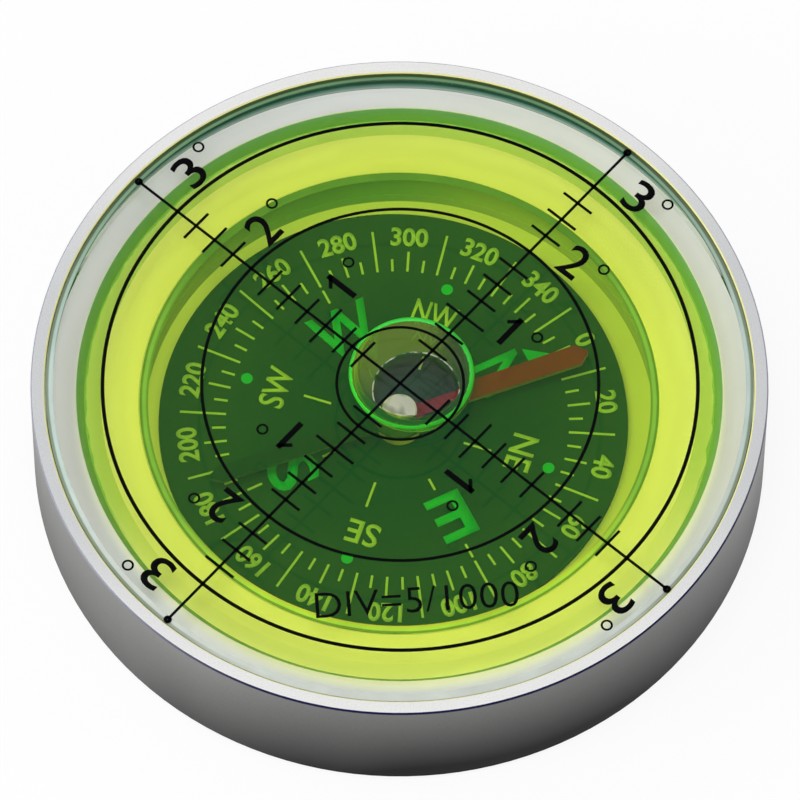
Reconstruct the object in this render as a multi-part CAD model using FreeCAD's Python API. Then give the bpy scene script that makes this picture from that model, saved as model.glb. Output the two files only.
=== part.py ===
import FreeCAD, Part
import math
import os

# Bullseye spirit level with a compass in its well. Millimetres, +Z up,
# origin at the centre of the case's underside.

# Radii, from the outside in
case_radius = 30.0
rim_wall = 1.15            # rim left around the vial's seat
vial_clearance = 0.05      # all round, in the case
vial_wall = 2.55           # clear wall outside the liquid
ledge_width = 7.95         # ring that carries the vial
dial_margin = 2.1          # well wall to dial
needle_margin = 2.6        # dial's edge to the needle's points

# Heights, from the base up; together they make the case's height
well_floor = 2.5
dial_thickness = 0.3
needle_float = 1.4         # air between dial and needle
needle_thickness = 0.4
cap_height = 1.95          # above the needle
cap_headroom = 0.3         # air between cap and vial
cup_floor = 1.25
cavity_depth = 1.6         # in the cup, below the bond line
lens_rim_thickness = 2.3

# Case, turned from aluminium bar
base_chamfer = 0.45
rim_break = 0.12           # edges of the top rim
well_break = 0.2           # edge where the ledge drops into the well
well_corner = 0.4          # foot of the well's wall

# Vial: a lens with a ground hollow, bonded onto a shallow cup
lens_curve_radius = 462.0  # 2 mm along the lens for a quarter of a degree
lens_break = 0.15
cavity_draft = 0.75        # radius lost by the cup's floor
cup_chamfer = 0.3

# Air bubble, a little off the middle as in use
bubble_radius = 5.1        # at mid height, where its wall bulges most
bubble_foot_radius = 3.45  # on the cup's floor
bubble_head_radius = 4.2   # on the lens's hollow
bubble_lip = 0.02          # upright edge where the liquid meets the glass
bubble_x = 1.09
bubble_y = 1.6

# Dial, laid in the well by eye, so its hole is loose round the bush
dial_hole_clearance = 0.85
dial_x = -0.45
dial_y = 0.35

# Pivot
bush_radius = 1.0
bush_seat = 1.5            # depth of the bush in the floor
bush_stand = 0.4           # height above the dial
bush_web = 0.2             # brass below the pin
pin_radius = 0.3
pin_cone_length = 0.9
pin_tip_radius = 0.05

# Needle, blanked from strip and carried on a cap
needle_root_width = 1.55
needle_north_width = 1.8   # at the shoulder of each point
needle_south_width = 1.35
needle_point_length = 0.85
needle_blunt_width = 0.3
needle_boss_radius = 2.1
needle_angle = 16.65       # degrees from +X to the north point

# Cap and its jewel
cap_radius = 1.45
cap_shoulder = 0.35
cap_crown = 0.12           # rise of the cap's slightly domed top
cap_spigot_radius = 0.95
cap_spigot_drop = 0.15     # staked end below the needle
jewel_radius = 0.65
jewel_height = 0.75
jewel_roof = 0.5           # cap metal above the jewel
jewel_cup_radius = 0.5
jewel_cup_depth = 0.45
pivot_play = 0.05          # pin tip to jewel

# Radii that follow
bore_radius = case_radius - rim_wall
vial_radius = bore_radius - vial_clearance
cavity_radius = vial_radius - vial_wall
cavity_floor_radius = cavity_radius - cavity_draft
well_radius = bore_radius - ledge_width
dial_radius = well_radius - dial_margin
needle_reach = dial_radius - needle_margin

# Heights that follow
dial_top_z = well_floor + dial_thickness
bush_z = well_floor - bush_seat
bush_top_z = dial_top_z + bush_stand
pin_z = bush_z + bush_web
needle_z = dial_top_z + needle_float
needle_top_z = needle_z + needle_thickness
cap_top_z = needle_top_z + cap_height
jewel_top_z = cap_top_z - jewel_roof
jewel_z = jewel_top_z - jewel_height
pin_tip_z = jewel_z + jewel_cup_depth - pivot_play
ledge_z = cap_top_z + cap_headroom
cup_floor_z = ledge_z + cup_floor
bond_z = cup_floor_z + cavity_depth
case_height = bond_z + lens_rim_thickness
lens_centre_z = bond_z - math.sqrt(lens_curve_radius ** 2 - cavity_radius ** 2)

origin = FreeCAD.Vector(0, 0, 0)
up = FreeCAD.Vector(0, 0, 1)
sideways = FreeCAD.Vector(1, 0, 0)


def roof(radius):
    """Height of the lens's ground hollow at a radius."""
    return lens_centre_z + math.sqrt(lens_curve_radius ** 2 - radius ** 2)


def section(radius, height):
    return FreeCAD.Vector(radius, 0, height)


def lines(*points):
    return [Part.LineSegment(section(*a), section(*b)).toShape()
            for a, b in zip(points, points[1:])]


def arc(start, middle, end):
    return [Part.Arc(section(*start), section(*middle), section(*end)).toShape()]


def turned(edges):
    """Solid of revolution about Z from a closed half section."""
    return Part.Face(Part.Wire(edges)).revolve(origin, up, 360)


def cylinder(radius, bottom, top):
    return Part.makeCylinder(radius, top - bottom, FreeCAD.Vector(0, 0, bottom))


def case():
    body = turned(lines((0, 0), (case_radius - base_chamfer, 0), (case_radius, base_chamfer),
                        (case_radius, case_height - rim_break),
                        (case_radius - rim_break, case_height),
                        (bore_radius + rim_break, case_height),
                        (bore_radius, case_height - rim_break), (bore_radius, ledge_z),
                        (well_radius + well_break, ledge_z), (well_radius, ledge_z - well_break),
                        (well_radius, well_floor + well_corner),
                        (well_radius - well_corner, well_floor), (0, well_floor), (0, 0)))
    return body.cut(cylinder(bush_radius, bush_z, well_floor))


def grinding_ball():
    """Ball that leaves the lens's hollow, with its poles out at the sides."""
    return Part.makeSphere(lens_curve_radius, FreeCAD.Vector(0, 0, lens_centre_z), sideways)


def vial_lens():
    blank = turned(lines((0, bond_z), (0, case_height), (vial_radius - lens_break, case_height),
                         (vial_radius, case_height - lens_break), (vial_radius, bond_z),
                         (0, bond_z)))
    return blank.cut(grinding_ball())


def vial_cup():
    return turned(lines((0, ledge_z), (vial_radius - cup_chamfer, ledge_z),
                        (vial_radius, ledge_z + cup_chamfer), (vial_radius, bond_z),
                        (cavity_radius, bond_z), (cavity_floor_radius, cup_floor_z),
                        (0, cup_floor_z), (0, ledge_z)))


def bubble():
    """Air space: its wall bulges outwards between the cup and the lens."""
    foot = cup_floor_z + bubble_lip
    head = roof(math.hypot(bubble_x, bubble_y) + bubble_head_radius) - bubble_lip
    void = turned(lines((0, ledge_z), (bubble_foot_radius, ledge_z), (bubble_foot_radius, foot))
                  + arc((bubble_foot_radius, foot), (bubble_radius, (foot + head) / 2),
                        (bubble_head_radius, head))
                  + lines((bubble_head_radius, head), (bubble_head_radius, case_height),
                          (0, case_height), (0, ledge_z)))
    void.translate(FreeCAD.Vector(bubble_x, bubble_y, 0))
    return void


def level_fluid():
    """Fills the cup and the lens's hollow; the cup's taper is run on until the ball trims it."""
    taper = cavity_draft / cavity_depth
    top_radius = cavity_floor_radius + taper * (case_height - cup_floor_z)
    filling = turned(lines((0, cup_floor_z), (cavity_floor_radius, cup_floor_z),
                           (top_radius, case_height), (0, case_height), (0, cup_floor_z)))
    return filling.common(grinding_ball()).cut(bubble())


def dial_plate():
    card = cylinder(dial_radius, well_floor, dial_top_z)
    card.translate(FreeCAD.Vector(dial_x, dial_y, 0))
    return card.cut(cylinder(bush_radius + dial_hole_clearance, well_floor, dial_top_z))


def pivot_bush():
    return cylinder(bush_radius, bush_z, bush_top_z).cut(cylinder(pin_radius, pin_z, bush_top_z))


def pivot_pin():
    return turned(lines((0, pin_z), (pin_radius, pin_z), (pin_radius, pin_tip_z - pin_cone_length),
                        (pin_tip_radius, pin_tip_z), (0, pin_tip_z), (0, pin_z)))


def needle_arm(end_width):
    """One arm, from the pivot to its blunt point."""
    shoulder = needle_reach - needle_point_length
    half_root = needle_root_width / 2
    half_end = end_width / 2
    half_blunt = needle_blunt_width / 2
    corners = [(0, -half_root), (shoulder, -half_end), (needle_reach, -half_blunt),
               (needle_reach, half_blunt), (shoulder, half_end), (0, half_root), (0, -half_root)]
    outline = Part.makePolygon([FreeCAD.Vector(x, y, needle_z) for x, y in corners])
    return Part.Face(outline).extrude(up * needle_thickness)


def needle():
    north = needle_arm(needle_north_width)
    south = needle_arm(needle_south_width)
    south.rotate(origin, up, 180)
    boss = cylinder(needle_boss_radius, needle_z, needle_top_z)
    eye = cylinder(cap_spigot_radius, needle_z, needle_top_z)
    blade = boss.fuse([north, south]).cut(eye).removeSplitter()
    blade.rotate(origin, up, needle_angle)
    return blade


def needle_cap():
    foot_z = needle_z - cap_spigot_drop
    shoulder_z = cap_top_z - cap_crown - cap_shoulder
    crown_z = cap_top_z - cap_crown
    crown_radius = cap_radius - cap_shoulder
    slant = cap_shoulder * math.sqrt(0.5)
    dome = (crown_radius ** 2 + cap_crown ** 2) / (2 * cap_crown)
    dome_half_z = cap_top_z - dome + math.sqrt(dome ** 2 - (crown_radius / 2) ** 2)
    return turned(lines((jewel_radius, foot_z), (cap_spigot_radius, foot_z),
                        (cap_spigot_radius, needle_top_z), (cap_radius, needle_top_z),
                        (cap_radius, shoulder_z))
                  + arc((cap_radius, shoulder_z), (crown_radius + slant, shoulder_z + slant),
                        (crown_radius, crown_z))
                  + arc((crown_radius, crown_z), (crown_radius / 2, dome_half_z), (0, cap_top_z))
                  + lines((0, cap_top_z), (0, jewel_top_z), (jewel_radius, jewel_top_z),
                          (jewel_radius, foot_z)))


def jewel_bearing():
    return turned(lines((0, jewel_z + jewel_cup_depth), (jewel_cup_radius, jewel_z),
                        (jewel_radius, jewel_z), (jewel_radius, jewel_top_z), (0, jewel_top_z),
                        (0, jewel_z + jewel_cup_depth)))


os.makedirs("parts", exist_ok=True)
for piece in (case, vial_cup, vial_lens, level_fluid, dial_plate, pivot_bush, pivot_pin,
              needle, needle_cap, jewel_bearing):
    solid = piece()
    solid.exportStep(f"parts/{piece.__name__}.step")
    print(f"{piece.__name__}: {solid.Volume:.2f} cubic mm, valid {solid.isValid()}")
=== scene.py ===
import math
import bpy
from mathutils import Matrix, Vector


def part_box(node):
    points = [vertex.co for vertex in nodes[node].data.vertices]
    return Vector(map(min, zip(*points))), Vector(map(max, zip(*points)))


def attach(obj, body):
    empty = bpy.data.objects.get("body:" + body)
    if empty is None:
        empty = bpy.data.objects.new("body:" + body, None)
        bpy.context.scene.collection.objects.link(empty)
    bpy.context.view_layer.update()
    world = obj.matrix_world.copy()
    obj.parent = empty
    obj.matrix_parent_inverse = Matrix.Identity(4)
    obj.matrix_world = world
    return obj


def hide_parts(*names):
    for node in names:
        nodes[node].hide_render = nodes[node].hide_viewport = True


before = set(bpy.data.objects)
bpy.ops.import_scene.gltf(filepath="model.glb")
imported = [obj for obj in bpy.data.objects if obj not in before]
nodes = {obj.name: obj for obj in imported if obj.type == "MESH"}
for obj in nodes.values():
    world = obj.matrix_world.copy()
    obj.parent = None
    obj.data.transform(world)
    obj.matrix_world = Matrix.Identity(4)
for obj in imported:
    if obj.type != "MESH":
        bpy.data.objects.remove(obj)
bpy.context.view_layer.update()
scene = bpy.context.scene
mm = 0.001

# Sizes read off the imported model
caseBox, dialBox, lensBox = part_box("case"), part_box("dial_plate"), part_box("vial_lens")
cupBox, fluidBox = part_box("vial_cup"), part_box("level_fluid")
caseRadius, caseHeight, dialTop = caseBox[1].x, caseBox[1].z, dialBox[1].z
vialRadius, vialTop, bondHeight, vialFoot = lensBox[1].x, lensBox[1].z, lensBox[0].z, cupBox[0].z
cavityFloor, cavityRadius = fluidBox[0].z, fluidBox[1].x
print("frame loaded:", len(nodes), "CAD nodes")


# Working helpers
def deselectAll():
    if bpy.context.mode != "OBJECT":
        bpy.ops.object.mode_set(mode="OBJECT")
    bpy.ops.object.select_all(action="DESELECT")


def makeActive(piece):
    deselectAll()
    piece.select_set(True)
    bpy.context.view_layer.objects.active = piece


def named(name):
    piece = bpy.context.object
    piece.name = piece.data.name = name
    return piece


def settle(piece):
    # its place goes into its mesh
    makeActive(piece)
    bpy.ops.object.transform_apply(location=True, rotation=True, scale=True)
    return piece


def joined(name, pieces):
    deselectAll()
    for piece in pieces:
        piece.select_set(True)
    bpy.context.view_layer.objects.active = pieces[0]
    bpy.ops.object.join()
    return settle(named(name))


def applied(piece, kind, **settings):
    makeActive(piece)
    modifier = piece.modifiers.new(kind.title(), kind)
    for key, value in settings.items():
        setattr(modifier, key, value)
    bpy.ops.object.modifier_apply(modifier=modifier.name)
    return piece


def dress(piece, *materials):
    piece.data.materials.clear()
    for material in materials:
        piece.data.materials.append(material)


def place(piece, body):
    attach(piece, body)
    return piece


lathe = {"steps": 192, "smoothAngle": math.radians(30), "weld": 0.0005 * mm}


def spun(name, profile, centre=(0, 0)):
    # profile is a list of (radius, height): a point is drawn out along it, then spun
    deselectAll()
    bpy.ops.mesh.primitive_plane_add(size=mm)
    piece = named(name)
    bpy.ops.object.mode_set(mode="EDIT")
    bpy.ops.mesh.merge(type="CENTER")
    bpy.ops.transform.translate(value=(profile[0][0] + centre[0], centre[1], profile[0][1]))
    for (radius, height), (nextRadius, nextHeight) in zip(profile, profile[1:]):
        bpy.ops.mesh.extrude_region_move(
            TRANSFORM_OT_translate={"value": (nextRadius - radius, 0, nextHeight - height)})
    bpy.ops.mesh.select_all(action="SELECT")
    bpy.ops.mesh.spin(steps=lathe["steps"], angle=math.tau, center=(*centre, 0), axis=(0, 0, 1))
    bpy.ops.mesh.select_all(action="SELECT")
    bpy.ops.mesh.remove_doubles(threshold=lathe["weld"])
    bpy.ops.mesh.normals_make_consistent(inside=False)
    bpy.ops.object.mode_set(mode="OBJECT")
    settle(piece)
    bpy.ops.object.shade_smooth_by_angle(angle=lathe["smoothAngle"])
    return piece


def paintFaces(piece, index, test):
    # test takes a face's radius, height and normal
    for face in piece.data.polygons:
        if test(face.center.xy.length, face.center.z, face.normal):
            face.material_index = index


# Shader helpers: a Wire is one socket's value, and a Recipe is one material's node tree
class Wire:
    def __init__(self, recipe, socket):
        self.recipe, self.socket = recipe, socket

    def maths(self, operation, first, second=0.0):
        return self.recipe.add("ShaderNodeMath", {"operation": operation}, {0: first, 1: second})

    def __add__(self, other):
        return self.maths("ADD", self, other)

    __radd__ = __add__

    def __sub__(self, other):
        return self.maths("SUBTRACT", self, other)

    def __rsub__(self, other):
        return self.maths("SUBTRACT", other, self)

    def __mul__(self, other):
        return self.maths("MULTIPLY", self, other)

    __rmul__ = __mul__

    def __abs__(self):
        return self.maths("ABSOLUTE", self)

    def __gt__(self, other):
        return self.maths("GREATER_THAN", self, other)

    def __lt__(self, other):
        return self.maths("LESS_THAN", self, other)

    def most(self, other):
        return self.maths("MAXIMUM", self, other)

    def sine(self):
        return self.maths("SINE", self)

    def ramp(self, low, high, start=0.0, end=1.0):
        return self.recipe.add("ShaderNodeMapRange", {"interpolation_type": "SMOOTHSTEP"},
                               {"Value": self, "From Min": low, "From Max": high,
                                "To Min": start, "To Max": end})


class Recipe:
    def __init__(self, name, holder=None):
        self.holder = holder or bpy.data.materials.new(name)
        self.holder.use_nodes = True
        self.tree = self.holder.node_tree
        self.tree.nodes.clear()

    def add(self, kind, settings=None, sockets=None, output=0):
        node = self.tree.nodes.new(kind)
        for key, value in (settings or {}).items():
            setattr(node, key, value)
        for key, value in (sockets or {}).items():
            if isinstance(value, Wire):
                self.tree.links.new(value.socket, node.inputs[key])
            else:
                node.inputs[key].default_value = value
        return Wire(self, node.outputs[output]) if node.outputs else None

    def place(self):
        return self.add("ShaderNodeTexCoord", output="Object")

    def part(self, vector, axis):
        return self.add("ShaderNodeSeparateXYZ", None, {0: vector}, output=axis)

    def along(self, axis):
        return self.part(self.place(), axis)

    def radius(self, x=0.0, y=0.0):
        flat = self.add("ShaderNodeVectorMath", {"operation": "MULTIPLY_ADD"},
                        {0: self.place(), 1: (1, 1, 0), 2: (-x, -y, 0)})
        return self.add("ShaderNodeVectorMath", {"operation": "LENGTH"}, {0: flat}, output="Value")

    def facing(self):
        # 1 on a face that looks up, -1 on one that looks down
        return self.part(self.add("ShaderNodeNewGeometry", output="Normal"), "Z")

    def noise(self, grain, detail=3.0):
        return self.add("ShaderNodeTexNoise", {"noise_dimensions": "3D"},
                        {"Vector": self.place(), "Scale": 1 / grain, "Detail": detail,
                         "Roughness": 0.5}, output="Fac")

    def blend(self, share, first, second):
        return self.add("ShaderNodeMix", {"data_type": "RGBA"},
                        {0: share, 6: first, 7: second}, output=2)

    def shade(self, colour, value):
        # colour times a value that stays near 1
        plain = colour if isinstance(colour, Wire) else colour[:3]
        return self.add("ShaderNodeVectorMath", {"operation": "SCALE"}, {0: plain, "Scale": value})

    def mottled(self, colour, drift):
        return self.shade(colour, 0.85 + drift * 0.3)

    def bump(self, height, distance, strength=0.5):
        return self.add("ShaderNodeBump", None,
                        {"Height": height, "Distance": distance, "Strength": strength})

    def principled(self, **sockets):
        return self.add("ShaderNodeBsdfPrincipled", None,
                        {key.replace("_", " "): value for key, value in sockets.items()})

    def glass(self, ior, **others):
        return self.principled(Base_Color=(1, 1, 1, 1), Roughness=0.0, IOR=ior,
                               Transmission_Weight=1.0, **others)

    def clear(self, colour=(1, 1, 1, 1)):
        return self.add("ShaderNodeBsdfTransparent", None, {"Color": colour})

    def layered(self, share, under, over):
        return self.add("ShaderNodeMixShader", None, {0: share, 1: under, 2: over})

    def lightPath(self, kind):
        return self.add("ShaderNodeLightPath", output=f"Is {kind} Ray")

    def lampsPass(self, surface):
        # lamps and scattered light go straight through clear faces, so nothing under them is dark
        shadow, diffuse, glossy, mirrored = (
            self.lightPath(kind) for kind in ("Shadow", "Diffuse", "Glossy", "Singular"))
        straight = shadow.most(diffuse).most(glossy - mirrored)
        return self.layered(straight, surface, self.clear())

    def done(self, surface, volume=None):
        self.add("ShaderNodeOutputMaterial", None,
                 {"Surface": surface, **({"Volume": volume} if volume else {})})
        return self.holder

    def inVial(self, surface):
        return self.done(self.lampsPass(surface))


def rgb(red, green, blue):
    # screen colour, 0 to 255, as the shader's linear colour
    return tuple((c / 255 / 12.92) if c <= 10 else ((c / 255 + 0.055) / 1.055) ** 2.4
                 for c in (red, green, blue)) + (1.0,)


# Camera: where the photograph was taken from, round the level's own axes, in degrees.
# across and upwards are pixels of an 800 pixel picture, from its middle to the vial's centre.
shot = {"elevation": 62.31, "swing": -4.25, "roll": 0.33, "distance": 858.4 * mm,
        "lens": 475.2, "sensor": 36, "across": -0.51, "upwards": 17.94, "pixelsToFocus": 10559}


def turnedBy(vector, degrees):
    return Matrix.Rotation(math.radians(degrees), 3, "Z") @ vector


def makeCamera():
    tilt, roll = math.radians(shot["elevation"]), math.radians(shot["roll"])
    back = turnedBy(Vector((0, -math.cos(tilt), math.sin(tilt))), shot["swing"])
    plainRight = turnedBy(Vector((1, 0, 0)), shot["swing"])
    plainUp = back.cross(plainRight)
    right = plainRight * math.cos(roll) + plainUp * math.sin(roll)
    up = back.cross(right)
    aim = (right * shot["across"] + up * shot["upwards"]) / shot["pixelsToFocus"] - back
    bpy.ops.object.camera_add()
    camera = bpy.context.object
    camera.data.lens, camera.data.sensor_width = shot["lens"], shot["sensor"]
    camera.data.clip_start, camera.data.clip_end = 0.01, 50
    turn = Matrix((right, up, back)).transposed().to_4x4()
    camera.matrix_world = Matrix.Translation(
        Vector((0, 0, vialTop)) - aim * shot["distance"]) @ turn
    scene.camera = camera


makeCamera()
print("camera set")


# Materials. X runs to the right, Y to the back and Z up. The first two numbers of a fade are
# its ends, and where there are four, the last two are the values there.
caseLook = {
    "shadedSide": rgb(121, 121, 120), "sideEdgeShade": (0.34, 0.35, 0.42, 1),
    "frontEdgeShade": (0.01, 0.012, 0.06, 1), "rim": (0.63, 0.64, 0.65, 1),
    "rimHighlight": (0.84, 0.84, 0.83, 1), "innerEdgeReflection": (0.88, 0.85, 0.42, 1),
    "boreShade": (0.13, 0.14, 0.04, 1), "ledge": rgb(246, 248, 246),
    "clearWall": (0.75, 0.76, 0.80, 1), "clearWallFront": (0.78, 0.80, 0.90, 1),
    "clearWallCorner": (0.96, 0.97, 1.0, 1), "wallBack": (0.22, 0.47, 0.23, 1),
    "wallSide": (0.44, 0.60, 0.35, 1), "wellFloor": (0.72, 0.83, 0.58, 1),
    "wellFloorRight": (0.62, 0.72, 0.50, 1),
    # radius, or radius and height, past which a colour begins, and heights up to which it goes
    "outsideFrom": 28.98 * mm, "chamferTo": 0.9 * mm, "shoulderFrom": (29.89 * mm, 11.76 * mm),
    "boreFrom": (28.82 * mm, 11.3 * mm), "innerEdgeFrom": (28.86 * mm, 11.87 * mm),
    "wallInner": 20.45 * mm, "wallFoot": 20.88 * mm, "wallOuter": 20.95 * mm,
    "wallTo": 6.6 * mm, "wellFloorTo": 2.6 * mm,
    # fades along X, Y, Z or the radius
    "rimFade": (8 * mm, 27 * mm), "ledgeShade": (-5 * mm, 26 * mm, 1.05, 0.93),
    "clearShade": (-5 * mm, 26 * mm, 1.0, 1.05), "clearShadeRight": 0.05,
    "clearFade": (25.6 * mm, 26.6 * mm), "clearFrontFade": (-6 * mm, -20 * mm),
    "wallMiddle": -3 * mm, "wallFade": (2 * mm, 15 * mm),
    "wallShade": (3.5 * mm, 6.4 * mm, 1.04, 0.84), "wallFootShade": 0.36,
    "wellFloorFade": (-8 * mm, 14 * mm), "swellShade": 0.02,
    # directions as X and Y, and fades along them from 0 in the middle to 1 at the case's edge
    "corner": (-0.616, -0.788), "cornerFade": (0.82, 0.94),
    "front": (0.26, -0.97), "edgeFade": (0.2, 0.8),
    # painted shade on the outside: its tone, and how much of it is lost at the foot
    "tone": 1.41, "toneFront": (0.6, 0.9, 0.0, 0.34), "toneRight": 0.08,
    "drop": 0.70, "dropFront": (0.4, 0.6, 0.0, 0.35), "dropMiddle": (0.88, 0.98, 0.0, 0.2),
    "darkest": 0.03,
    # the satin finish and the tool's marks
    "grain": 0.12 * mm, "patch": 9 * mm, "turning": 0.16 * mm, "wander": 1.2 * mm,
    "swell": 1.9 * mm, "metallic": 0.15, "roughness": 0.42, "shine": 0.05, "relief": 0.006 * mm}


def makeCaseFinish():
    recipe = Recipe("satinAluminium")
    radius, facing = recipe.radius(), recipe.facing()
    rightward, backward, height = (recipe.along(axis) for axis in "XYZ")
    grain, patches = recipe.noise(caseLook["grain"], 2), recipe.noise(caseLook["patch"], 2)
    wander = recipe.noise(caseLook["wander"], 2)
    rings = (radius * (math.tau / caseLook["turning"]) + wander * 3).sine()
    swells = (radius * (math.tau / caseLook["swell"]) + patches * 9).sine()

    def past(limits):
        return (radius > limits[0]) * (height > limits[1])

    def towards(direction):
        # 1 at the case's edge in that direction
        return (rightward * direction[0] + backward * direction[1]) * (1 / caseRadius)

    # under the vial: the ledge, in painted light and shade. Under the liquid it darkens towards the
    # back; where only clear wall covers it, it is greyer, lighter towards the front, the front-left
    # corner and the back, and darker to the right
    clearWall = recipe.blend(backward.ramp(*caseLook["clearFrontFade"]), caseLook["clearWall"],
                             caseLook["clearWallFront"])
    corner = towards(caseLook["corner"]).ramp(*caseLook["cornerFade"])
    clearWall = recipe.blend(corner, clearWall, caseLook["clearWallCorner"])
    clearWall = recipe.shade(clearWall, backward.ramp(*caseLook["clearShade"])
                             - rightward * (caseLook["clearShadeRight"] / caseRadius))
    colour = recipe.shade(caseLook["ledge"], backward.ramp(*caseLook["ledgeShade"]))
    colour = recipe.blend(radius.ramp(*caseLook["clearFade"]), colour, clearWall)
    colour = recipe.shade(colour, 1 + swells * caseLook["swellShade"])
    # the well, in painted light and shade: its floor is green and darker to the right, and its wall
    # is green, deepest at the back, darker near its top and darkest in the corner at its foot
    wellFloor = recipe.blend(rightward.ramp(*caseLook["wellFloorFade"]), caseLook["wellFloor"],
                             caseLook["wellFloorRight"])
    colour = recipe.blend(height < caseLook["wellFloorTo"], colour, wellFloor)
    aside = abs(rightward - caseLook["wallMiddle"])
    wall = recipe.blend(aside.ramp(*caseLook["wallFade"]), caseLook["wallBack"],
                        caseLook["wallSide"])
    wall = recipe.shade(wall, height.ramp(*caseLook["wallShade"])
                        - (radius < caseLook["wallFoot"]) * caseLook["wallFootShade"])
    onWall = (radius > caseLook["wallInner"]) * (radius < caseLook["wallOuter"]) \
        * (height < caseLook["wallTo"])
    colour = recipe.blend(onWall, colour, wall)
    # the bore in painted shade, and its broken edge with a painted reflection of the liquid's light
    colour = recipe.blend(past(caseLook["boreFrom"]), colour, caseLook["boreShade"])
    colour = recipe.blend(past(caseLook["innerEdgeFrom"]), colour, caseLook["innerEdgeReflection"])
    # painted shade: the outside is a darker copy of the metal and darkens towards its foot, most of
    # all at the front; the underside is plain
    outer = (radius > caseLook["outsideFrom"]).most(height < caseLook["chamferTo"])
    forward = towards(caseLook["front"])
    tone = caseLook["tone"] - forward.ramp(*caseLook["toneFront"]) \
        + rightward * (caseLook["toneRight"] / caseRadius)
    drop = caseLook["drop"] + forward.ramp(*caseLook["dropFront"]) \
        + forward.ramp(*caseLook["dropMiddle"])
    low = 1 - height * (1 / caseHeight)
    outside = recipe.shade(caseLook["shadedSide"], (tone - low * drop).most(caseLook["darkest"]))
    outside = recipe.blend(facing < -0.9, outside, caseLook["shadedSide"])
    colour = recipe.blend(outer, colour, outside)
    # the top of the rim, with a painted highlight towards the front and back, and its outer edge in
    # painted shade, darkest at the front
    rim = recipe.blend(abs(backward).ramp(*caseLook["rimFade"]), caseLook["rim"],
                       caseLook["rimHighlight"])
    colour = recipe.blend(outer * (facing > 0.3), colour, rim)
    edge = recipe.blend(forward.ramp(*caseLook["edgeFade"]), caseLook["sideEdgeShade"],
                        caseLook["frontEdgeShade"])
    colour = recipe.blend(past(caseLook["shoulderFrom"]), colour, edge)
    colour = recipe.shade(colour, 0.98 + patches * 0.05 + (grain - 0.5) * (outer * 0.3 + 0.04)
                          + rings * 0.01)
    inside = 1 - outer
    return recipe.done(recipe.principled(
        Base_Color=colour, Metallic=caseLook["metallic"],
        Roughness=caseLook["roughness"] + patches * 0.1 + inside * 0.1,
        Specular_IOR_Level=caseLook["shine"],
        Normal=recipe.bump(grain + rings * inside * 0.4, caseLook["relief"], 0.6)))


# The vial's sizes that its CAD boxes don't give, and those of its bubble and liquid
vial = {"chamfer": 0.18 * mm, "bevel": 0.62 * mm, "seamFoot": 7.3 * mm, "bondGap": 0.01 * mm,
        "lift": 0.02 * mm, "footChamfer": 0.3 * mm, "floorRadius": 25.5 * mm,
        "cornerShadeRadius": 24.15 * mm, "wellEdgeInner": 20.30 * mm, "wellEdgeOuter": 20.99 * mm,
        "curve": 462 * mm, "roofPoints": 10, "ior": 1.49}
bubble = {"x": 1.09 * mm, "y": 1.60 * mm, "radius": 5.1 * mm, "headRadius": 4.2 * mm,
          "footRadius": 3.2 * mm, "creep": (0.33 * mm, -0.75 * mm), "waist": 1.2 * mm,
          "points": 24, "lip": 0.025 * mm, "ringTop": (0.5, 1.0), "ringBack": (0.35, 0.94),
          "ior": 1.40, "near": (0.01, 0.14, 0.03, 1), "far": (0.36, 0.58, 0.03, 1),
          "farFade": (-3 * mm, 2 * mm), "wallGlow": 0.23, "shadeSheet": (0.03, 0.08, 0.03, 1),
          "shadeSheetShare": 0.78, "shadeSheetFade": (1 * mm, 4 * mm)}
liquid = {"tint": (0.81, 0.925, 0.068), "over": 4.9 * mm, "glow": (0.0, 1.0, 0.28, 1.0),
          "glowStrength": 0.015, "gap": 0.012 * mm}


def makeClear():
    # outer faces of the vial: polished acrylic
    recipe = Recipe("polishedAcrylic")
    return recipe.inVial(recipe.glass(vial["ior"]))


def makeWetted():
    # faces that the liquid or the bond wets don't bend light, but those under the bubble do
    recipe = Recipe("wettedAcrylic")
    x, y, (creepX, creepY) = bubble["x"], bubble["y"], bubble["creep"]
    upper = recipe.along("Z") > cavityFloor + bubble["waist"]
    head = recipe.radius(x, y) < bubble["headRadius"]
    foot = recipe.radius(x + creepX, y + creepY) < bubble["footRadius"]
    dry = upper * head + (1 - upper) * foot
    return recipe.done(recipe.layered(dry, recipe.clear(),
                                      recipe.lampsPass(recipe.glass(vial["ior"]))))


def liquidTint(recipe):
    # from what is left of each colour over that depth to what a ray loses in a metre
    taken = [-math.log(share) / liquid["over"] for share in liquid["tint"]]
    density = max(taken)
    return recipe.add("ShaderNodeVolumeAbsorption", None,
                      {"Color": tuple(1 - t / density for t in taken) + (1.0,),
                       "Density": density})


def makeLiquid():
    recipe = Recipe("levelLiquid")
    # its faint green emission is a painted glow
    surface = recipe.glass(1.0, Emission_Color=liquid["glow"],
                           Emission_Strength=liquid["glowStrength"])
    return recipe.done(recipe.lampsPass(surface), liquidTint(recipe))


def makeBubbleWall():
    # a painted green glow, brightest on its far side, and on its right a dark matt sheet of painted
    # shade
    recipe = Recipe("bubbleWall")
    backward = recipe.along("Y") - bubble["y"]
    rightward = recipe.along("X") - bubble["x"]
    glow = recipe.blend(backward.ramp(*bubble["farFade"]), bubble["near"], bubble["far"])
    surface = recipe.glass(bubble["ior"], Emission_Color=glow,
                           Emission_Strength=bubble["wallGlow"])
    shadeSheet = recipe.principled(Base_Color=bubble["shadeSheet"], Roughness=0.5, Specular_IOR_Level=0.1)
    right = rightward.ramp(*bubble["shadeSheetFade"]) * bubble["shadeSheetShare"]
    return recipe.done(recipe.lampsPass(recipe.layered(right, surface, shadeSheet)),
                       liquidTint(recipe))


meniscusLook = {"deep": (0.03, 0.74, 0.10, 1), "bright": (0.09, 0.88, 0.12, 1),
                "patch": 2.5 * mm}


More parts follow.
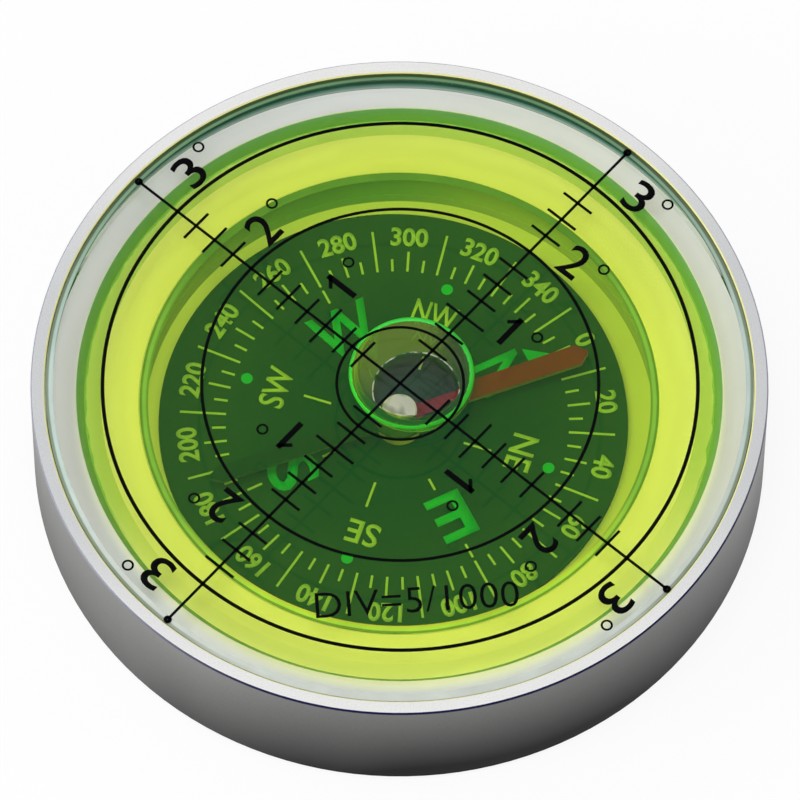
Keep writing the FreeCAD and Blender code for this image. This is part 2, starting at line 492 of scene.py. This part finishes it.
def makeMeniscus():
    # the green ring round the bubble: painted reflected light, on an opaque face
    recipe = Recipe("meniscusPaintedReflection")
    colour = recipe.blend(recipe.noise(meniscusLook["patch"], 2), meniscusLook["deep"],
                          meniscusLook["bright"])
    return recipe.done(recipe.principled(Base_Color=colour, Roughness=0.35,
                                         Specular_IOR_Level=0.2))


contactLook = {"pale": (0.62, 0.66, 0.52, 1), "patch": 0.9 * mm, "breaks": (0.38, 0.6)}


def makeContactLine():
    # painted highlight: a pale broken line where the liquid climbs the cup's floor
    recipe = Recipe("contactHighlight")
    pale = recipe.principled(Base_Color=contactLook["pale"], Roughness=0.4)
    breaks = recipe.noise(contactLook["patch"], 2).ramp(*contactLook["breaks"])
    return recipe.inVial(recipe.layered(breaks, recipe.clear(), pale))


frostedLook = {"deep": (0.13, 0.35, 0.15, 1), "bright": (0.16, 0.39, 0.17, 1),
               "topEdge": (0.75, 0.80, 0.45, 1), "edgeHeight": 0.12 * mm, "patch": 4 * mm,
               "grain": 0.2 * mm, "relief": 0.01 * mm}


def makeFrosted():
    # the cavity's wall, as ground; its green is painted light from the liquid, and its top edge is
    # a painted highlight
    recipe = Recipe("groundCavityWall")
    colour = recipe.blend(recipe.noise(frostedLook["patch"]), frostedLook["deep"],
                          frostedLook["bright"])
    edge = recipe.along("Z") > bondHeight - frostedLook["edgeHeight"]
    colour = recipe.blend(edge, colour, frostedLook["topEdge"])
    fine = recipe.noise(frostedLook["grain"], 2)
    return recipe.inVial(recipe.principled(
        Base_Color=colour, Roughness=0.5, Normal=recipe.bump(fine, frostedLook["relief"], 0.4)))


cornerShadeLook = {"thin": (0.64, 0.81, 0.50, 1), "thick": (0.30, 0.62, 0.25, 1),
            "front": (0.96, 0.98, 0.94, 1), "patch": 1.4 * mm, "ragged": 0.5 * mm,
            "edge": (25.55 * mm, 25.65 * mm), "frontFade": (-6 * mm, -16 * mm)}


def makeHaze():
    # painted shade: a tinted clear sheet on the corner of the cavity's floor darkens and greens
    # what lies under it, and is nearly clear at the front
    recipe = Recipe("cornerPaintedShade")
    edge = recipe.radius() + recipe.noise(cornerShadeLook["patch"]) * cornerShadeLook["ragged"]
    cloud = recipe.layered(edge.ramp(*cornerShadeLook["edge"]), recipe.clear(cornerShadeLook["thin"]),
                           recipe.clear(cornerShadeLook["thick"]))
    return recipe.inVial(recipe.layered(recipe.along("Y").ramp(*cornerShadeLook["frontFade"]), cloud,
                                        recipe.clear(cornerShadeLook["front"])))


# each strip of the painted lines, behind and in front
wellEdgeLinesLook = {"outer": ((0.14, 0.28, 0.14, 1), (0.20, 0.36, 0.17, 1)),
            "body": ((0.28, 0.51, 0.36, 1), (0.56, 0.80, 0.36, 1)),
            "inner": ((0.17, 0.33, 0.19, 1), (0.66, 0.67, 0.34, 1)),
            "lost": (0.13, 0.27, 0.15, 1), "frontFade": (-8 * mm, -17 * mm),
            "lostFade": (7 * mm, 15 * mm), "outerTo": (0.17 * mm, 0.25 * mm),
            "innerFrom": (0.48 * mm, 0.56 * mm), "patch": 2.2 * mm, "waver": 0.08 * mm}


def makeBead():
    # painted light and shade under the cup, along the ledge's edge: a light line between dark ones,
    # lighter in front
    recipe = Recipe("wellEdgePaintedLines")
    drift = recipe.noise(wellEdgeLinesLook["patch"])
    inward = vial["wellEdgeOuter"] - recipe.radius() + (drift - 0.5) * wellEdgeLinesLook["waver"]
    backward = recipe.along("Y")
    front = backward.ramp(*wellEdgeLinesLook["frontFade"])
    outer, body, inner = (recipe.blend(front, *wellEdgeLinesLook[strip])
                          for strip in ("outer", "body", "inner"))
    colour = recipe.blend(inward.ramp(*wellEdgeLinesLook["outerTo"]), outer, body)
    colour = recipe.blend(inward.ramp(*wellEdgeLinesLook["innerFrom"]), colour, inner)
    # at the back it is lost against the well's wall
    colour = recipe.blend(backward.ramp(*wellEdgeLinesLook["lostFade"]), colour, wellEdgeLinesLook["lost"])
    return recipe.inVial(recipe.principled(Base_Color=recipe.mottled(colour, drift),
                                           Roughness=0.5, Specular_IOR_Level=0.1))


# the seam, partly the dark bond and partly painted reflection and shade: its colour at its foot,
# and those that follow it upwards
seamLook = {"foot": (0.50, 0.58, 0.62, 1), "patch": 3 * mm,
            "bands": (((0.14, 0.30, 0.31, 1), (7.2 * mm, 8.3 * mm)),
                      ((0.012, 0.09, 0.05, 1), (8.2 * mm, 9.0 * mm)),
                      ((0.05, 0.11, 0.035, 1), (9.3 * mm, 10.3 * mm)))}


def makeSeam():
    recipe = Recipe("bondSeamPaintedShade")
    height, colour = recipe.along("Z"), seamLook["foot"]
    for band, fade in seamLook["bands"]:
        colour = recipe.blend(height.ramp(*fade), colour, band)
    colour = recipe.mottled(colour, recipe.noise(seamLook["patch"]))
    return recipe.inVial(recipe.principled(Base_Color=colour, Roughness=0.7,
                                           Specular_IOR_Level=0.0))


# each line of the bevel, in front and behind
bevelLook = {"inner": ((0.48, 0.53, 0.48, 1), (0.045, 0.09, 0.045, 1)),
             "light": ((0.50, 0.62, 0.58, 1), (0.14, 0.26, 0.14, 1)),
             "outer": ((0.24, 0.30, 0.22, 1), (0.04, 0.08, 0.03, 1)),
             "pale": (0.56, 0.60, 0.55, 1), "patch": 2.5 * mm,
             "innerFade": (1 * mm, 11 * mm), "backFade": (-2 * mm, 26 * mm),
             "paleFade": (-4 * mm, -16 * mm), "outerPaleFade": (-18 * mm, -27 * mm),
             "lightFrom": (28.18 * mm, 28.30 * mm), "outerFrom": (28.48 * mm, 28.60 * mm)}


def makeBevel():
    # the lens's bevelled edge in painted reflection and shade: a light line between two dark ones,
    # pale towards the front and darker at the back
    recipe = Recipe("lensBevelPaintedReflection")
    radius, backward = recipe.radius(), recipe.along("Y")
    back = backward.ramp(*bevelLook["backFade"])
    inner = recipe.blend(backward.ramp(*bevelLook["innerFade"]), *bevelLook["inner"])
    light, outer = (recipe.blend(back, *bevelLook[line]) for line in ("light", "outer"))
    colour = recipe.blend(radius.ramp(*bevelLook["lightFrom"]), inner, light)
    colour = recipe.blend(backward.ramp(*bevelLook["paleFade"]), colour, bevelLook["pale"])
    outer = recipe.blend(backward.ramp(*bevelLook["outerPaleFade"]), outer, bevelLook["pale"])
    colour = recipe.blend(radius.ramp(*bevelLook["outerFrom"]), colour, outer)
    colour = recipe.mottled(colour, recipe.noise(bevelLook["patch"]))
    return recipe.inVial(recipe.principled(Base_Color=colour, Roughness=0.6,
                                           Specular_IOR_Level=0.0))


inkLooks = {"reticleInk": {"colour": (0.002, 0.002, 0.003, 1), "grain": 0.05 * mm,
                           "rough": 0.7, "shine": 0.08},
            "dialFigure": {"colour": (0.33, 0.55, 0.24, 1), "grain": 0.06 * mm,
                           "rough": 0.6, "shine": 0.2},
            "dialLume": {"colour": (0.006, 0.43, 0.17, 1), "grain": 0.09 * mm,
                         "rough": 0.6, "shine": 0.2},
            "jewelRed": {"colour": (0.45, 0.03, 0.08, 1), "grain": 0.1 * mm,
                         "rough": 0.1, "shine": 0.5}}
paintRelief = 0.004 * mm


def makeInk(name, colour, grain, rough, shine):
    recipe = Recipe(name)
    speck, cloud = recipe.noise(grain), recipe.noise(grain * 12, 2)
    tone = recipe.shade(colour, 0.86 + speck * 0.18 + cloud * 0.1)
    return recipe.done(recipe.principled(
        Base_Color=tone, Roughness=rough + speck * 0.1, Specular_IOR_Level=shine,
        Normal=recipe.bump(speck, paintRelief)))


dialLook = {"middle": (0.0035, 0.045, 0.026, 1), "edge": (0.016, 0.066, 0.026, 1),
            "fade": (7 * mm, 20 * mm), "wander": 3 * mm, "speck": 0.08 * mm, "cloud": 3 * mm}


def makeDial():
    # printed black, painted dark green for the liquid's glow, and paler towards its edge where the
    # well's light reaches it
    recipe = Recipe("dialBlack")
    speck, cloud = recipe.noise(dialLook["speck"]), recipe.noise(dialLook["cloud"])
    outward = (recipe.radius() + cloud * dialLook["wander"]).ramp(*dialLook["fade"])
    colour = recipe.blend(outward, dialLook["middle"], dialLook["edge"])
    colour = recipe.shade(colour, 0.84 + speck * 0.2 + cloud * 0.12)
    return recipe.done(recipe.principled(
        Base_Color=colour, Roughness=0.6 + speck * 0.1, Specular_IOR_Level=0.12,
        Normal=recipe.bump(speck, paintRelief)))


metalLooks = {"turnedBrass": {"colour": (0.72, 0.52, 0.22, 1), "rough": 0.3, "grain": 0.1 * mm},
              "hardSteel": {"colour": (0.50, 0.50, 0.52, 1), "rough": 0.2, "grain": 0.05 * mm}}


def makeMetal(name, colour, rough, grain):
    recipe = Recipe(name)
    grainy, cloud = recipe.noise(grain), recipe.noise(grain * 8, 2)
    return recipe.done(recipe.principled(
        Base_Color=recipe.shade(colour, 0.88 + cloud * 0.2), Metallic=1.0,
        Roughness=rough + grainy * 0.08, Normal=recipe.bump(grainy, 0.003 * mm)))


capLook = {"bright": (0.96, 0.94, 0.86, 1), "shadedPatch": (0.42, 0.47, 0.40, 1),
           "cloud": 1.4 * mm, "cloudFade": (0.47, 0.64), "grain": 0.1 * mm, "metallic": 0.25,
           "rough": 0.16, "relief": 0.3 * mm}


def makeCapPlating():
    # bright plating, with patches of painted shade where the light misses it
    recipe = Recipe("brightNickel")
    cloud, fine = recipe.noise(capLook["cloud"], 1), recipe.noise(capLook["grain"])
    colour = recipe.blend(cloud.ramp(*capLook["cloudFade"]), capLook["bright"],
                          capLook["shadedPatch"])
    return recipe.done(recipe.principled(
        Base_Color=colour, Metallic=capLook["metallic"], Roughness=capLook["rough"] + fine * 0.1,
        Normal=recipe.bump(cloud, capLook["relief"])))


needleLook = {"red": (0.18, 0.018, 0.022, 1), "black": (0.004, 0.036, 0.018, 1),
              "boss": (0.04, 0.11, 0.03, 1), "edge": (0.36, 0.36, 0.14, 1),
              "blackEdge": (0.07, 0.17, 0.06, 1), "angle": 16.65, "bossRadius": 2.15 * mm,
              "redFrom": 0.9 * mm, "speck": 0.15 * mm, "cloud": 1.5 * mm}


def makeNeedlePaint():
    # painted in two colours over the strip, whose cut edges stay bare
    recipe = Recipe("needlePaint")
    turn = math.radians(needleLook["angle"])
    northward = recipe.add("ShaderNodeVectorMath", {"operation": "DOT_PRODUCT"},
                           {0: recipe.place(), 1: (math.cos(turn), math.sin(turn), 0)},
                           output="Value")
    speck, cloud = recipe.noise(needleLook["speck"]), recipe.noise(needleLook["cloud"], 2)
    boss = recipe.radius() < needleLook["bossRadius"]
    colour = recipe.blend(boss, needleLook["black"], needleLook["boss"])
    colour = recipe.blend(northward > needleLook["redFrom"], colour, needleLook["red"])
    edge = (abs(recipe.facing()) < 0.5) * (1 - boss)
    colour = recipe.blend(edge, colour, recipe.blend(northward > 0, needleLook["blackEdge"],
                                                     needleLook["edge"]))
    colour = recipe.shade(colour, 0.88 + speck * 0.1 + cloud * 0.14)
    return recipe.done(recipe.principled(
        Base_Color=colour, Roughness=0.42 + speck * 0.12, Metallic=edge * 0.4,
        Specular_IOR_Level=0.15, Normal=recipe.bump(speck, paintRelief, 0.6)))


polished, wetted, liquidBody, bubbleWall = makeClear(), makeWetted(), makeLiquid(), makeBubbleWall()
meniscus, contactHighlight, frosted, cornerShade = makeMeniscus(), makeContactLine(), makeFrosted(), makeHaze()
wellEdgeLines, seam, bevel = makeBead(), makeSeam(), makeBevel()
inks = {name: makeInk(name, **look) for name, look in inkLooks.items()}
metals = {name: makeMetal(name, **look) for name, look in metalLooks.items()}
for node, material in {"case": makeCaseFinish(), "dial_plate": makeDial(),
                       "pivot_bush": metals["turnedBrass"], "pivot_pin": metals["hardSteel"],
                       "needle": makeNeedlePaint(), "needle_cap": makeCapPlating(),
                       "jewel_bearing": inks["jewelRed"]}.items():
    dress(nodes[node], material)
print("materials made")


# Clear vial: lens, cup and the liquid between them
def roof(radius):
    # height of the lens's ground hollow
    centre = bondHeight - math.sqrt(vial["curve"] ** 2 - cavityRadius ** 2)
    return centre + math.sqrt(vial["curve"] ** 2 - radius ** 2)


def roofLine(inset):
    # along the hollow, from its edge to its middle
    edge, count = cavityRadius - inset, vial["roofPoints"]
    radii = [edge * (1 - i / count) for i in range(count + 1)]
    return [(radius, roof(radius) - inset) for radius in radii]


def isSeam(radius, height, normal):
    return radius > vialRadius * 0.99 and abs(normal.z) < 0.3 and \
        vial["seamFoot"] < height < vialTop - vial["chamfer"]


def makeLens():
    bond, bevelInner = bondHeight + vial["bondGap"], vialRadius - vial["bevel"]
    lens = spun("vialLens", [
        (0, vialTop), (bevelInner, vialTop), (vialRadius, vialTop - vial["chamfer"]),
        (vialRadius, bond), (cavityRadius, bond)] + roofLine(0)[1:])
    dress(lens, polished, wetted, seam, bevel)
    paintFaces(lens, 1, lambda radius, height, normal: normal.z < -0.3)
    paintFaces(lens, 2, isSeam)
    paintFaces(lens, 3, lambda radius, height, normal:
               radius > bevelInner and 0.5 < normal.z < 0.999)
    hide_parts("vial_lens")
    return place(lens, "case")


def makeCup():
    foot, chamfer = vialFoot + vial["lift"], vial["footChamfer"]
    floorRadius, cornerShadeRadius = vial["floorRadius"], vial["cornerShadeRadius"]
    cup = spun("vialCup", [
        (0, foot), (vial["wellEdgeInner"], foot), (vial["wellEdgeOuter"], foot),
        (vialRadius - chamfer, foot), (vialRadius, foot + chamfer),
        (vialRadius, vial["seamFoot"]), (vialRadius, bondHeight), (cavityRadius, bondHeight),
        (floorRadius, cavityFloor), (cornerShadeRadius, cavityFloor), (0, cavityFloor)])
    dress(cup, polished, wetted, seam, frosted, cornerShade, wellEdgeLines)
    paintFaces(cup, 1, lambda radius, height, normal: normal.z > 0.7)
    paintFaces(cup, 2, isSeam)
    paintFaces(cup, 3, lambda radius, height, normal:
               floorRadius * 0.99 < radius < cavityRadius and 0.1 < normal.z < 0.7)
    paintFaces(cup, 4, lambda radius, height, normal:
               normal.z > 0.9 and cornerShadeRadius < radius < floorRadius)
    paintFaces(cup, 5, lambda radius, height, normal:
               normal.z < -0.9 and vial["wellEdgeInner"] < radius < vial["wellEdgeOuter"])
    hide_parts("vial_cup")
    return place(cup, "case")


def makeAir(low, middle, high):
    # the bubble, rounded out to its waist from a narrower foot and head
    wall = []
    for narrow, end, rise in ((bubble["footRadius"], -1, middle - low),
                              (bubble["headRadius"], 1, high - middle)):
        angles = [math.pi / 2 * i / bubble["points"] for i in range(bubble["points"] + 1)]
        quarter = [(narrow + (bubble["radius"] - narrow) * math.cos(angle),
                    middle + end * rise * math.sin(angle)) for angle in angles]
        wall += quarter[::-1] if end < 0 else quarter[1:]
    air = spun("bubbleAir", [(0, low - mm), (bubble["footRadius"], low - mm)] + wall
               + [(bubble["headRadius"], high + mm), (0, high + mm)],
               (bubble["x"], bubble["y"]))
    for vertex in air.data.vertices:
        # the foot is moved whole, and what is above it less and less up to the waist
        share = min(max((middle - vertex.co.z) / (middle - low), 0), 1)
        vertex.co.xy += Vector(bubble["creep"]) * share
    dress(air, bubbleWall, meniscus, contactHighlight)
    paintFaces(air, 2, lambda radius, height, normal: low < height < low + bubble["lip"])
    (least, most), (backX, backY) = bubble["ringTop"], bubble["ringBack"]
    for face in air.data.polygons:
        # the painted green ring of reflected light is low in front, and at the back it takes in the
        # whole upper wall
        x, y, z = face.center
        back = ((x - bubble["x"]) * backX + (y - bubble["y"]) * backY) / bubble["radius"]
        if middle < z < middle + (high - middle) * (least + (most - least) * (1 + back) / 2):
            face.material_index = 1
    return air


def makeLiquidPiece():
    gap = liquid["gap"]
    body = spun("levelLiquid", [
        (0, cavityFloor + gap), (vial["floorRadius"] - gap, cavityFloor + gap)]
        + roofLine(gap))
    air = makeAir(cavityFloor, cavityFloor + bubble["waist"],
                  roof(math.hypot(bubble["x"], bubble["y"])))
    dress(body, liquidBody, bubbleWall, meniscus, contactHighlight)
    applied(body, "BOOLEAN", operation="DIFFERENCE", object=air, solver="EXACT",
            material_mode="TRANSFER")
    bpy.data.objects.remove(air)
    makeActive(body)
    bpy.ops.object.shade_smooth_by_angle(angle=lathe["smoothAngle"])
    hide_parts("level_fluid")
    return place(body, "case")


makeLens()
makeCup()
makeLiquidPiece()
print("vial and liquid made")


# Prints: flat outlines given the thickness of ink
printing = {"ringSteps": 192, "dotSteps": 32, "knobSteps": 24, "letterSteps": 4}


def polar(radius, degrees, centre=(0, 0)):
    angle = math.radians(degrees)
    return Vector((centre[0] + radius * math.cos(angle), centre[1] + radius * math.sin(angle)))


def flatBar(centre, length, width, angle):
    deselectAll()
    bpy.ops.mesh.primitive_plane_add(size=1, location=(*centre, 0))
    bar = bpy.context.object
    bar.scale, bar.rotation_euler.z = (length, width, 1), angle
    return settle(bar)


def flatRing(radius, width, centre=(0, 0), steps=printing["ringSteps"]):
    inner, outer = radius - width / 2, radius + width / 2
    deselectAll()
    bpy.ops.mesh.primitive_circle_add(vertices=steps, radius=inner, location=(*centre, 0))
    ring = bpy.context.object
    bpy.ops.object.mode_set(mode="EDIT")
    bpy.ops.mesh.extrude_edges_move()
    bpy.ops.transform.resize(value=(outer / inner, outer / inner, 1),
                             center_override=(*centre, 0))
    bpy.ops.object.mode_set(mode="OBJECT")
    return settle(ring)


def flatText(words, height, centre, angle, weight, width=None, share=1.0):
    # height is that of a capital; the words are centred on their own outline, and as wide
    # as width says, or share of the width that goes with their height
    deselectAll()
    bpy.ops.object.text_add()
    text = bpy.context.object
    text.data.body, text.data.offset = words, weight
    text.data.resolution_u = printing["letterSteps"]
    bpy.ops.object.convert(target="MESH")
    text = bpy.context.object
    corners = [vertex.co for vertex in text.data.vertices]
    low, high = (Vector(pick(c[i] for c in corners) for i in range(2)) for pick in (min, max))
    size = high - low
    grow = height / size.y
    stretch = width / size.x if width else grow * share
    text.data.transform(Matrix.Translation((*-(low + high) / 2, 0)))
    text.scale, text.rotation_euler.z = (stretch, grow, 1), angle
    text.location = (*centre, 0)
    return settle(text)


def flatArrow(base, tip, half, degrees, centre):
    # a triangle that points away from the centre
    deselectAll()
    bpy.ops.mesh.primitive_circle_add(vertices=3, radius=1, fill_type="NGON")
    arrow = bpy.context.object
    corners = (polar(tip, degrees, centre),
               polar(base, degrees, centre) + polar(half, degrees + 90),
               polar(base, degrees, centre) + polar(half, degrees - 90))
    for vertex, corner in zip(arrow.data.vertices, corners):
        vertex.co = (*corner, 0)
    return settle(arrow)


def inked(name, outlines, height, thickness, material, shift=(0, 0)):
    sheet = joined(name, outlines)
    makeActive(sheet)
    bpy.ops.object.mode_set(mode="EDIT")
    bpy.ops.mesh.select_all(action="SELECT")
    bpy.ops.mesh.remove_doubles(threshold=lathe["weld"])
    bpy.ops.object.mode_set(mode="OBJECT")
    for face in sheet.data.polygons:
        if face.normal.z < 0:
            face.flip()
    applied(sheet, "SOLIDIFY", thickness=thickness, offset=1.0)
    sheet.location = (*shift, height)
    settle(sheet)
    dress(sheet, material)
    return place(sheet, "case")


# Reticle: sizes in mm along each arm and clockwise of it; a circle has a radius and a width
reticle = {"circles": ((5.16, 0.24), (16.14, 0.27), (24.2, 0.31)), "arms": (45, 135, 225, 315),
           "line": 0.24, "reach": 28.45, "knob": (0.19, 0.304), "step": 2.015,
           "marks": (2, 3, 4, 5, 6, 7, 9, 10, 11), "longMarks": (4,), "mark": 3.0,
           "longMark": 4.0, "figures": {"3": (25.9, 3.42), "2": (17.85, 3.37), "1": (9.5, 3.62)},
           "figureHeight": 3.04, "figureWidth": 1.92, "figureWeight": 0.008,
           "stem": (0.50, 2.95), "flag": (1.2, 0.32), "flagTurn": 42,
           "degree": (0.41, 0.18), "degreeOut": 1.02, "degreeAside": 5.65,
           "scaleWords": "DIV=5/1000", "wordsRadius": 19.7, "wordsHeight": 2.3,
           "wordsWidth": 16.4, "wordsWeight": -0.006, "shift": (0.05, -0.12), "ink": 0.015}


def reticleOne(spot, outward, clockwise, turn):
    # a plain stem with a short flag
    (stem, tall), (flag, flagWidth) = reticle["stem"], reticle["flag"]
    lean = math.radians(reticle["flagTurn"])
    tip = spot + outward * (tall / 2 - flag * math.sin(lean) / 2 - flagWidth / 2) \
        + clockwise * (stem / 4 - flag * math.cos(lean) / 2)
    return [flatBar(spot, tall * mm, stem * mm, turn),
            flatBar(tip, flag * mm, flagWidth * mm, turn - math.pi / 2 + lean)]


def makeReticle():
    line, reach = reticle["line"] * mm, reticle["reach"]
    outlines = [flatRing(radius * mm, width * mm) for radius, width in reticle["circles"]]
    knobRadius, knobWidth = (size * mm for size in reticle["knob"])
    ringRadius, ringWidth = (size * mm for size in reticle["degree"])
    for arm in reticle["arms"]:
        turn = math.radians(arm)
        outward, clockwise = polar(mm, arm), polar(mm, arm - 90)
        outlines.append(flatBar(outward * reach / 2, reach * mm, line, turn))
        outlines.append(flatRing(knobRadius, knobWidth, outward * reach,
                                 printing["knobSteps"]))
        for mark in reticle["marks"]:
            length = reticle["longMark"] if mark in reticle["longMarks"] else reticle["mark"]
            outlines.append(flatBar(outward * mark * reticle["step"], line, length * mm, turn))
        for figure, (along, aside) in reticle["figures"].items():
            spot = outward * along + clockwise * aside
            if figure == "1":
                outlines += reticleOne(spot, outward, clockwise, turn)
            else:
                outlines.append(flatText(
                    figure, reticle["figureHeight"] * mm, spot, turn - math.pi / 2,
                    reticle["figureWeight"], reticle["figureWidth"] * mm))
            ringSpot = outward * (along + reticle["degreeOut"]) \
                + clockwise * reticle["degreeAside"]
            outlines.append(flatRing(ringRadius, ringWidth, ringSpot, printing["dotSteps"]))
    outlines.append(flatText(reticle["scaleWords"], reticle["wordsHeight"] * mm,
                             polar(reticle["wordsRadius"] * mm, -90), 0,
                             reticle["wordsWeight"], reticle["wordsWidth"] * mm))
    inked("reticlePrint", outlines, vialTop, reticle["ink"] * mm, inks["reticleInk"],
          [way * mm for way in reticle["shift"]])


# Compass card: radii run out from its own centre, and headings clockwise from north
card = {"centre": (-0.14 * mm, 0.14 * mm), "north": 22.7, "tickWidth": 0.2 * mm,
        "tickInner": 13.75 * mm, "tickShort": 14.86 * mm, "tickMedium": 15.56 * mm,
        "tickLong": 17.46 * mm, "figureRadius": 16.89 * mm, "figureHeight": 1.70 * mm,
        "figureShare": 0.93, "figureWeight": 0.03,
        "cardinalRadius": 9.40 * mm, "cardinalHeight": 4.1 * mm, "cardinalWeight": 0.02,
        "betweenRadius": 10.22 * mm, "betweenHeight": 2.1 * mm, "betweenWeight": 0.015,
        "cardinalSpokes": ((5.6 * mm, 6.7 * mm), (12.1 * mm, 13.4 * mm)),
        "betweenSpoke": (5.6 * mm, 7.9 * mm), "dotRadius": 12.73 * mm, "dot": 0.95 * mm,
        "dotHole": 0.001 * mm, "arrowBase": 11.95 * mm, "arrowTip": 13.95 * mm,
        "arrowHalf": 1.5 * mm, "ink": 0.012 * mm, "lumeInk": 0.018 * mm,
        # width, and how far clockwise of its line each word was printed, in mm
        "words": {"N": (3.0, -0.3), "NE": (3.2, -0.6), "E": (3.05, -0.13), "SE": (2.65, -0.48),
                  "S": (2.7, -0.14), "SW": (3.6, 0.02), "W": (5.3, 0.0), "NW": (3.6, -0.2)}}


def tickEnd(heading):
    if heading % 10:
        return card["tickShort"]
    return card["tickLong"] if heading % 20 else card["tickMedium"]


def makeCardPrints():
    centre = card["centre"]
    figures, lume = [], []

    def spoke(heading, inner, outer):
        angle = card["north"] - heading
        figures.append(flatBar(polar((inner + outer) / 2, angle, centre), outer - inner,
                               card["tickWidth"], math.radians(angle)))

    def lettered(words, heading, kind, aside=0.0, width=None, share=1.0):
        angle = card["north"] - heading
        spot = polar(card[kind + "Radius"], angle, centre) + polar(aside, angle - 90)
        return flatText(words, card[kind + "Height"], spot, math.radians(angle - 90),
                        card[kind + "Weight"], width, share)

    for heading in range(0, 360, 5):
        spoke(heading, card["tickInner"], tickEnd(heading))
    for heading in range(0, 360, 20):
        figures.append(lettered(str(heading), heading, "figure", share=card["figureShare"]))
    for index, (words, (width, aside)) in enumerate(card["words"].items()):
        heading = 45 * index
        if index % 2:
            figures.append(lettered(words, heading, "between", aside * mm, width * mm))
            spoke(heading, *card["betweenSpoke"])
            dotSpot = polar(card["dotRadius"], card["north"] - heading, centre)
            # a ring with so small a hole that welding closes it
            lume.append(flatRing(card["dot"] / 4, card["dot"] / 2 - card["dotHole"], dotSpot,
                                 printing["dotSteps"]))
        else:
            lume.append(lettered(words, heading, "cardinal", aside * mm, width * mm))
            inner, outer = card["cardinalSpokes"]
            spoke(heading, *inner)
            if heading:
                spoke(heading, *outer)
    # north has an arrow in place of its outer spoke
    lume.append(flatArrow(card["arrowBase"], card["arrowTip"], card["arrowHalf"],
                          card["north"], centre))
    inked("dialFigures", figures, dialTop, card["ink"], inks["dialFigure"])
    inked("dialLume", lume, dialTop, card["lumeInk"], inks["dialLume"])


makeReticle()
makeCardPrints()
print("prints made")


# Stage and lights
stage = {"floor": 30.0, "gap": 0.02 * mm, "floorColour": (0.90, 0.90, 0.90, 1),
         "floorShare": 0.9, "skyFade": (0.12, 0.5, 0.84, 0.24), "clearBounces": 24}
lamps = {
    "key": {"at": (-0.06, -0.10, 0.85), "size": 0.3, "watts": 3.3},
    "left": {"at": (-0.62, -0.22, 0.42), "size": 0.4, "watts": 1.9},
    "right": {"at": (0.62, -0.10, 0.50), "size": 0.5, "watts": 0.6},
    "back": {"at": (-0.55, 0.35, 0.65), "size": 0.4, "watts": 1.3},
}


def makeStage():
    deselectAll()
    bpy.ops.mesh.primitive_grid_add(x_subdivisions=4, y_subdivisions=4, size=stage["floor"],
                                    location=(0, 0, -stage["gap"]))
    floor = named("floor")
    recipe = Recipe("paleFloor")
    seen = recipe.lightPath("Camera").most(recipe.lightPath("Glossy")) \
        .most(recipe.lightPath("Transmission"))
    matt = recipe.principled(Base_Color=stage["floorColour"], Roughness=0.9)
    white = recipe.add("ShaderNodeEmission", None, {"Color": (1, 1, 1, 1), "Strength": 1.0})
    lit = recipe.layered(seen * stage["floorShare"], matt, white)
    # clear from below, so that the underside can be looked at
    below = recipe.add("ShaderNodeNewGeometry", output="Backfacing")
    dress(floor, recipe.done(recipe.layered(below, lit, recipe.clear())))


def makeLamps():
    for name, lamp in lamps.items():
        bpy.ops.object.light_add(type="AREA", location=lamp["at"])
        light = bpy.context.object
        light.name, light.data.size, light.data.energy = name, lamp["size"], lamp["watts"]
        light.rotation_euler = Vector(lamp["at"]).to_track_quat("Z", "Y").to_euler()
        # no square lamp is mirrored in the flat vial, from any side
        light.visible_glossy = light.visible_transmission = False


def makeSky():
    # brightest low down, all round
    scene.world = bpy.data.worlds.new("studio")
    recipe = Recipe("studio", scene.world)
    upward = recipe.part(recipe.add("ShaderNodeTexCoord", output="Generated"), "Z")
    background = recipe.add("ShaderNodeBackground", None,
                            {"Color": (1, 1, 1, 1), "Strength": upward.ramp(*stage["skyFade"])})
    recipe.add("ShaderNodeOutputWorld", None, {"Surface": background})


makeStage()
makeLamps()
makeSky()
scene.view_settings.view_transform = "Standard"
scene.cycles.transparent_max_bounces = stage["clearBounces"]
print("stage and lamps made")
